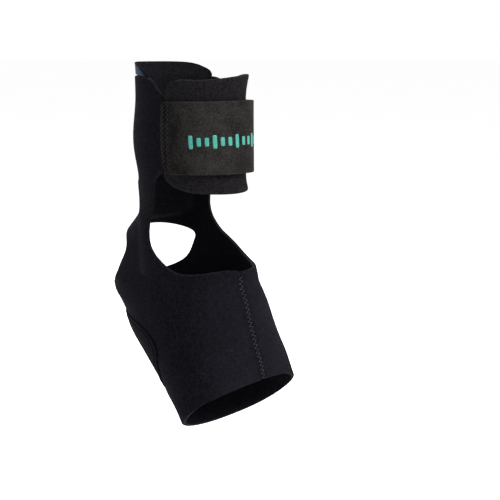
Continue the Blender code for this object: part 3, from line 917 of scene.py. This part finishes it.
def stitch_tree():
    """Geometry nodes that lay one stitch on each point, turned along its row and leaning to and fro."""
    tree = bpy.data.node_groups.new("zigzag_stitches", "GeometryNodeTree")

    def first(kind, inputs=None, **settings):
        return node(tree, kind, inputs, **settings).outputs[0]

    def corner(x, z):
        return first("ShaderNodeCombineXYZ", {0: x, 2: z})

    kinds = {"Geometry": "Geometry", "Thread": "Material", "Hole": "Material"}
    for name in ("Geometry", "Stitch Length", "Thread Radius", "Lean", "Rise", "Thread", "Hole"):
        kind = "NodeSocket" + kinds.get(name, "Float")
        tree.interface.new_socket(name, in_out="INPUT", socket_type=kind)
    tree.interface.new_socket("Geometry", in_out="OUTPUT", socket_type="NodeSocketGeometry")
    given = node(tree, "NodeGroupInput").outputs
    half = scaled(given["Stitch Length"], 0.5)
    sink = scaled(given["Rise"], -0.6)
    top = corner(0.0, scaled(given["Rise"], 2.0))
    bow = {"Start": corner(scaled(half, -1.0), sink), "Middle": top, "End": corner(half, sink)}
    arc = first("GeometryNodeCurveQuadraticBezier", {"Resolution": 7, **bow})
    ring = first("GeometryNodeCurvePrimitiveCircle", {"Resolution": 7, "Radius": given["Thread Radius"]})
    strand = first("GeometryNodeCurveToMesh", {"Curve": arc, "Profile Curve": ring, "Fill Caps": True})
    up, along = (
        first("GeometryNodeInputNamedAttribute", {"Name": name}, data_type="FLOAT_VECTOR")
        for name in ("up", "along")
    )
    stood = first("FunctionNodeAlignRotationToVector", {"Vector": up}, axis="Z")
    toward = {"Rotation": stood, "Vector": along}
    faced = first("FunctionNodeAlignRotationToVector", toward, axis="X", pivot_axis="Z")
    odd = maths("MODULO", first("GeometryNodeInputIndex"), 2.0)
    side = maths("SUBTRACT", scaled(odd, 2.0), 1.0)
    uneven = node(tree, "FunctionNodeRandomValue", {"Min": -0.07, "Max": 0.07, "Seed": 7}, data_type="FLOAT")
    uneven = next(s for s in uneven.outputs if s.enabled)
    angle = total(scaled(side, given["Lean"]), uneven)
    lean = first("FunctionNodeAxisAngleToRotation", {"Axis": (0, 0, 1), "Angle": angle})
    leaning = {"Rotation": faced, "Rotate By": lean}
    turned = first("FunctionNodeRotateRotation", leaning, rotation_space="LOCAL")
    wide = scaled(given["Thread Radius"], 2.3)
    # Painted shade: a flattened near-black bead at each stitch's end stands for the shade inside its needle
    # hole.
    hole_shade_bead = first("GeometryNodeMeshUVSphere", {"Segments": 7, "Rings": 4, "Radius": wide})
    shallow = {"Translation": corner(scaled(half, 1.05), sink), "Scale": (1.0, 1.0, 0.55)}
    hole_shade_bead = first("GeometryNodeTransform", {"Geometry": hole_shade_bead, **shallow})
    stitch = node(tree, "GeometryNodeJoinGeometry")
    for shape, name in ((strand, "Thread"), (hole_shade_bead, "Hole")):
        finished = first("GeometryNodeSetMaterial", {"Geometry": shape, "Material": given[name]})
        tree.links.new(finished, stitch.inputs[0])
    bed = {"Points": given["Geometry"], "Instance": stitch.outputs[0], "Rotation": turned}
    real = first("GeometryNodeRealizeInstances", {"Geometry": first("GeometryNodeInstanceOnPoints", bed)})
    node(tree, "NodeGroupOutput", {"Geometry": first("GeometryNodeSetShadeSmooth", {"Geometry": real})})
    return tree


STITCHES = stitch_tree()


def stitched(name, runs, finish, length, radius, lean, rise):
    """One piece with a stitch on each point of the runs. A run is (points, along, up)."""
    points, along, up = (np.vstack([run[k] for run in runs]) for k in range(3))
    mesh = bpy.data.meshes.new(name + "_points")
    mesh.from_pydata([tuple(p) for p in points], [], [])
    for key, values in (("along", along), ("up", up)):
        attribute = mesh.attributes.new(key, "FLOAT_VECTOR", "POINT")
        attribute.data.foreach_set("vector", values.astype(np.float32).ravel())
    bed = placed(name + "_points", mesh)
    modifier = bed.modifiers.new("stitches", "NODES")
    modifier.node_group = STITCHES
    sizes = {"Stitch Length": length, "Thread Radius": radius, "Lean": lean, "Rise": rise}
    sizes |= {"Thread": finish, "Hole": needle_hole_shade}
    for socket in STITCHES.interface.items_tree:
        if socket.in_out == "INPUT" and socket.name in sizes:
            modifier[socket.identifier] = sizes[socket.name]
    bed.update_tag()
    bpy.context.view_layer.update()
    ready = bed.evaluated_get(bpy.context.evaluated_depsgraph_get())
    result = bpy.data.meshes.new_from_object(ready)
    result.name = name
    made = placed(name, result)
    bpy.data.objects.remove(bed)
    return made


def row_of(rows, spacing, offset):
    """Evenly spaced points of a line on a layer, with their directions along it and outward."""
    u, v = stations(spline(rows, 0.5 * MM))
    points = limb(u, v, offset(u, v))
    length = np.concatenate(([0], np.cumsum(np.linalg.norm(np.diff(points, axis=0), axis=1))))
    count = max(2, round(length[-1] / spacing))
    at = (np.arange(count) + 0.5) * length[-1] / count
    behind, here, ahead = (
        np.stack([np.interp(at + step, length, axis) for axis in points.T], 1)
        for step in (-0.2 * MM, 0, 0.2 * MM)
    )
    return here, unit(ahead - behind), outward(np.interp(at, length, u), np.interp(at, length, v))


# The sleeve: one piece of neoprene over the heel and instep, with its upright behind the shin.

EDGE_ROUND = 0.8 * MM
SEAM_ROUND = 0.45 * MM
INNER_FALL = 0.6
RIDGE = ((4.3, -36), (5.74, -48), (6.31, -67), (6.89, -78), (7.69, -87), (8.6, -92.5))
SLEEVE_SWELLS = (
    # station, turn, reach in stations, reach in degrees, height in millimetres
    (9.96, -48, 0.26, 18, 1.2),
    (12.3, 122, 0.8, 25, -1.1),
    (8.9, 145, 0.35, 14, 0.7),
    (12, -150, 1.1, 16, 0.7),
    (10, -120, 0.9, 22, 0.5),
    (11.2, -105, 0.8, 12, -0.5),
    (2.9, -22, 0.7, 12, 0.4),
    (5, -20, 0.6, 14, 0.5),
    (12.85, -52, 0.40, 15, 1.5),
    (9.45, -66, 0.30, 12, 1),
    (3.35, -41, 0.45, 14, 0.7),
)
RIPPLE = 0.16 * MM
RIPPLED = (1.6, 2.2)
SEAM_TURNS = (165, 170)
SEAM_FROM = (8.3, 8.4)
SEAM_TO = (13.7, 13.6)
RIDGE_HEIGHT = 1.0 * MM
RIDGE_REACH = 2.6 * MM
FOOT_FROM = (8.0, 9.0)
PAINTED_INSTEP_TURNS = (128, 148)
SHADED_TURN = 108
SHADED_REACH = 16


def sleeve_swell(u, v):
    """Low swells and hollows of the sleeve."""
    turn = (v + 180) % 360 - 180
    rise = np.zeros(len(u))
    for station, centre, reach, width, height in SLEEVE_SWELLS:
        away = (turn - centre + 180) % 360 - 180
        rise += height * MM * np.exp(-(((u - station) / reach) ** 2) - (away / width) ** 2)
    return rise


def sleeve_top(u, v):
    """Offset of the sleeve's outer face, with its swells and faint ripples."""
    ripple = np.sin(u * 3.1 + v * 0.052) + np.sin(u * 1.7 - v * 0.083 + 1.3) * np.sin(v * 0.021 + u)
    return NEOPRENE + sleeve_swell(u, v) + RIPPLE * ripple * ramp(u, *RIPPLED)


sleeve_cut = net(sleeve_loops(), round_depths(EDGE_ROUND))
u, v = stations(sleeve_cut.places)
by_seam = ramp(np.abs(v), *SEAM_TURNS) * ramp(u, *SEAM_FROM) * ramp(u, *SEAM_TO)
fall = rounded(sleeve_cut.depths, EDGE_ROUND) * (1 - by_seam * (1 - SEAM_ROUND / EDGE_ROUND))
sleeve_in = sleeve_swell(u, v) + fall * INNER_FALL
sleeve_out = sleeve_top(u, v) + RIDGE_HEIGHT * hollow(sleeve_cut, RIDGE, RIDGE_REACH) - fall
sleeve = layer("neoprene_sleeve", sleeve_cut, sleeve_in, sleeve_out, [sleeve_jersey, foam_edge])

# The knit is darker along the seam, where the stitching presses it. Painted shade darkens it along the arch
# pad's groove and beside the instep; painted light lightens it over the top of the foot and along the heel's
# ridge.
scale = real_scales(sleeve_cut.places).mean(1)
near_seam = distance(spline(SEAM, 2 * MM), sleeve_cut.places, closed=False) * scale
across_seam = distance(spline([(s, t - 360) for s, t in SEAM], 2 * MM), sleeve_cut.places, closed=False)
seam_press_and_groove_shade = np.exp(-((np.minimum(near_seam, across_seam) / (2.4 * MM)) ** 4))
# Painted shadow in the groove along the arch pad's edge.
by_arch = distance(both_sides(ARCH_EDGE), sleeve_cut.places) * scale
seam_press_and_groove_shade = np.maximum(seam_press_and_groove_shade, np.exp(-((by_arch / (1.8 * MM)) ** 2)))
on_foot = ramp(u, *FOOT_FROM)
# Painted light over the top of the foot, where it faces the lamp, and painted shade beside the instep.
painted_instep_light = 0.68 * ramp(np.abs(v), *PAINTED_INSTEP_TURNS) * on_foot
shaded = 0.3 * np.exp(-(((np.abs(v) - SHADED_TURN) / SHADED_REACH) ** 2)) * on_foot
# Painted highlight along the heel's ridge.
painted_ridge_highlight = 2.0 * hollow(sleeve_cut, RIDGE, 2.4 * MM)
pressed_and_painted_shading(sleeve, seam_press_and_groove_shade + shaded - painted_instep_light - painted_ridge_highlight)

# The wrap: a band of neoprene round the shin, from one edge of the upright to the other.

wrap_cut = net(wrap_loops(), round_depths(EDGE_ROUND))
u, v = stations(wrap_cut.places)
fall = rounded(wrap_cut.depths, EDGE_ROUND)
flare = wrap_flare(u, v)
wrap_out = flare + WRAP_WALL - fall
wrap = layer("shin_wrap", wrap_cut, flare + fall * INNER_FALL, wrap_out, [wrap_jersey_painted_lighter, foam_edge])

# The strap, sewn on at its lateral end, and the hook tab under its free end.

STRAP_ROUND = 0.6 * MM
SEWN_TURNS = (10.9, 8.4)
SEWN_SINK = 0.35 * MM
strap_cut = net(strap_loops(), round_depths(STRAP_ROUND))
u, v = stations(strap_cut.places)
fall = rounded(strap_cut.depths, STRAP_ROUND)
seat = strap_seat(v)
from_end = strap_start(u) - v
sewn = ramp(from_end, *SEWN_TURNS)
# Painted shade: the strap is drawn darker toward its sewn end and toward the front of the shin.
painted_strap_shade = 0.75 * ramp(from_end, 37, 15) + 0.4 * ramp(v, 198, 184)
strap_out = seat + STRAP_WALL - fall - SEWN_SINK * sewn
strap = layer("shin_strap", strap_cut, seat + fall * INNER_FALL, strap_out, [strap_pile])
pressed_and_painted_shading(strap, np.maximum(sewn, np.minimum(painted_strap_shade, 1)))

TAB_ROUND = 0.25 * MM
tab_cut = net(tab_loops(), round_depths(TAB_ROUND))
fall = rounded(tab_cut.depths, TAB_ROUND)
tab_base = NEOPRENE + CLEARANCE
tab = layer("strap_hook_tab", tab_cut, tab_base + fall * 0.4, tab_base + TAB_WALL - fall, [tab_web])

# The Achilles pad inside the upright, with its top standing above the upright's.

pad_loop = both_sides(PAD_EDGE)
pad_turns = np.linspace(-PAD_STEP_TURN, PAD_STEP_TURN, 90)
pad_steps = [flat(np.stack((upright_top(pad_turns) - step, pad_turns), 1)) for step in PAD_STEP]
PAD_ROUND = 0.25 * MM
PAD_FREE_TURNS = (78.5, 73.5)
PAD_WELD = (1.6 * MM, 9.6 * MM)
PAD_RIM_SHARE = 0.30
LIP_THINNED = (0, 5 * MM)
LIP_RIM_SHARE = 0.42
BINDING_HALF = 0.55 * MM
BINDING_WALL = 0.10 * MM


def pad_faces(u, v, from_edge):
    """Inner and outer offsets of the pad: welded flat at its edge, full inside it, thin at its lip."""
    ease = ramp(np.abs(v), *PAD_FREE_TURNS)
    step = ramp(upright_top(v) - u, *PAD_STEP)
    above = ramp(upright_top(v) - u, 0, LIP_RISE)
    full = np.sin(ramp(from_edge, *PAD_WELD) * math.pi / 2)
    wall = PAD_WALL * (PAD_RIM_SHARE + (1 - PAD_RIM_SHARE) * full)
    lip = PAD_LIP * (LIP_RIM_SHARE + (1 - LIP_RIM_SHARE) * ramp(from_edge, *LIP_THINNED))
    outer = -CLEARANCE + (LIP_STAND + CLEARANCE) * step * ease
    inner = -CLEARANCE - wall * (1 - above) + ((LIP_STAND + CLEARANCE) * ease - lip) * above
    return inner, outer


pad_cut = net([pad_loop], round_depths(PAD_ROUND), extra=pad_steps)
fall = rounded(pad_cut.depths, PAD_ROUND)
pad_in, pad_out = pad_faces(*stations(pad_cut.places), distance(pad_loop, pad_cut.places))
pad = layer("achilles_cushion", pad_cut, pad_in + fall, pad_out - fall, [pad_cloth, pad_lining], (0, 1, 0))

edge_in, edge_out = pad_faces(*stations(pad_loop), np.zeros(len(pad_loop)))
half = (edge_out - edge_in) / 2 + BINDING_WALL
binding = piping("cushion_binding", pad_loop, (edge_in + edge_out) / 2, BINDING_HALF, half, binding_tape)

# The arch pad, laid on the outside of the sleeve under the arch.

ARCH_ROUND = 0.22 * MM
arch_loop = both_sides(ARCH_EDGE)
arch_cut = net([arch_loop], round_depths(ARCH_ROUND), step=1.8 * MM)
fall = rounded(arch_cut.depths, ARCH_ROUND)


def arch_height(u, v):
    """Offset of the arch pad's outer face: it follows the sleeve and swells toward its middle."""
    share = ramp(distance(arch_loop, flat(np.stack((u, v), 1))), 0, ARCH_SLOPE)
    return sleeve_top(u, v) + CLEARANCE + ARCH_RIM + (ARCH_CROWN - ARCH_RIM) * np.sin(math.pi / 2 * share)


u, v = stations(arch_cut.places)
arch_base = sleeve_top(u, v) + CLEARANCE + fall * 0.5
arch = layer("arch_cushion", arch_cut, arch_base, arch_height(u, v) - fall, [arch_jersey])

# Stitching.

ARCH_ROW_STATIONS = 0.91
ARCH_ROW_TURNS = 0.962
SEAM_THREAD = {"length": 3.7 * MM, "radius": 0.22 * MM, "lean": 1.10, "rise": 0.40 * MM}
STRAP_THREAD = {"length": 3.0 * MM, "radius": 0.26 * MM, "lean": 1.02, "rise": 0.42 * MM}
ARCH_THREAD = {"length": 2.1 * MM, "radius": 0.22 * MM, "lean": 0.0, "rise": 0.2 * MM}

seam_row = row_of(SEAM, 1.66 * MM, sleeve_top)
seam_stitches = stitched("dorsal_seam_stitches", [seam_row], seam_thread, **SEAM_THREAD)


def sewn_top(u, v):
    return strap_seat(v) + STRAP_WALL - SEWN_SINK


(high, low), (high_end, low_end) = STRAP_STATIONS, STRAP_START
columns = (
    ((high + 0.09, high_end - 2.9), (low - 0.30, low_end - 3.6)),
    ((high + 0.05, high_end - 7.9), (low - 0.10, low_end - 8.6)),
)
strap_rows = [row_of(column, 1.55 * MM, sewn_top) for column in columns]
strap_stitches = stitched("strap_end_stitches", strap_rows, strap_thread, **STRAP_THREAD)

arch_middle = (ARCH_EDGE[0][0] + ARCH_EDGE[-1][0]) / 2
arch_half = [(arch_middle + (s - arch_middle) * ARCH_ROW_STATIONS, t * ARCH_ROW_TURNS) for s, t in ARCH_EDGE]
arch_round = [*arch_half, *[(s, -t) for s, t in reversed(arch_half)][1:-1], arch_half[0]]
arch_row = row_of(arch_round, 2.6 * MM, lambda u, v: arch_height(u, v) - 0.05 * MM)
arch_stitches = stitched("arch_pad_stitches", [arch_row], binding_tape, **ARCH_THREAD)

# A plain printed scale on the strap, for fitting it alike each time.

MARK_STATION = 3.12
MARK_TURNS = np.linspace(230.5, 134.5, 13)
MARK_WIDTH = 2.4 * MM
MARK_HEIGHTS = (9.4 * MM, 6.0 * MM, 6.0 * MM)
MARK_SINK = 0.15 * MM
MARK_RISE = 0.12 * MM
points, faces, pattern = [], [], []
for number, turn in enumerate(MARK_TURNS):
    centre = flat([(MARK_STATION, turn)])
    size = (MARK_HEIGHTS[number % 3], MARK_WIDTH) / real_scales(centre)[0]
    outline = centre + np.stack(oval_ring(28, 0.35), 1) * size / 2
    mark_cut = net([outline], (), step=0.8 * MM)
    top = strap_seat(stations(mark_cut.places)[1]) + STRAP_WALL
    shape = layer_shape(mark_cut, top - MARK_SINK, top + MARK_RISE, (0, 0, 0))
    start = sum(len(p) for p in points)
    points.append(shape[0])
    faces += [tuple(k + start for k in face) for face in shape[1]]
    pattern.append(shape[3])
marks = new_mesh("fit_scale_print", np.vstack(points), faces, np.vstack(pattern), [teal_ink])

# Which CAD node each piece stands for, and how it is held.

pieces = (
    (sleeve, "sleeve", "sleeve_neoprene"),
    (wrap, "cuff_wrap", "wrap_neoprene"),
    (strap, "cuff_strap", "strap_elastic"),
    (tab, "hook_tab", "hook_tape"),
    (pad, "achilles_pad", "pad_fabric"),
    (arch, "arch_pad", "arch_neoprene"),
)
for piece, cad_node, slot in pieces:
    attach(piece, "root")
    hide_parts(cad_node)
for piece, slot in (
    (seam_stitches, "sleeve_neoprene"),
    (strap_stitches, "strap_elastic"),
    (binding, "pad_fabric"),
    (marks, "strap_elastic"),
    (arch_stitches, "arch_neoprene"),
):
    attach(piece, "root")


# Floor and light.


def area_light(name, place, size, power):
    """A round lamp that faces the ankle."""
    data = bpy.data.lights.new(name, "AREA")
    data.shape = "DISK"
    data.size = size
    data.energy = power
    looking(placed(name, data), place, -Vector(place))


def pale_floor():
    mesh = bpy.data.meshes.new("floor")
    reach = 30.0
    corners = [(-reach, -reach), (reach, -reach), (reach, reach), (-reach, reach)]
    mesh.from_pydata([(x, y, FLOOR_HEIGHT) for x, y in corners], [], [(0, 1, 2, 3)])
    made, tree = new_material("pale_floor", Roughness=0.9, Specular_IOR_Level=0.1)
    shade = noise(solid_place(tree), 180, 2.0, 0.5)
    mesh.materials.append(wired(made, Base_Color=mixed(shade, "#fcfcfc", "#ffffff")))
    floor = placed("floor", mesh)


pale_floor()
area_light("key", (0.20, -1.17, 1.0), size=0.8, power=37)
area_light("fill", (-1.1, 0.5, 0.7), size=1.2, power=3)
area_light("back", (0.4, 1.1, 0.9), size=1.0, power=16)
world = bpy.data.worlds.new("studio")
world.use_nodes = True
world.node_tree.nodes["Background"].inputs["Color"].default_value = (1, 1, 1, 1)
world.node_tree.nodes["Background"].inputs["Strength"].default_value = 1.0
bpy.context.scene.world = world
bpy.context.scene.view_settings.view_transform = "Standard"
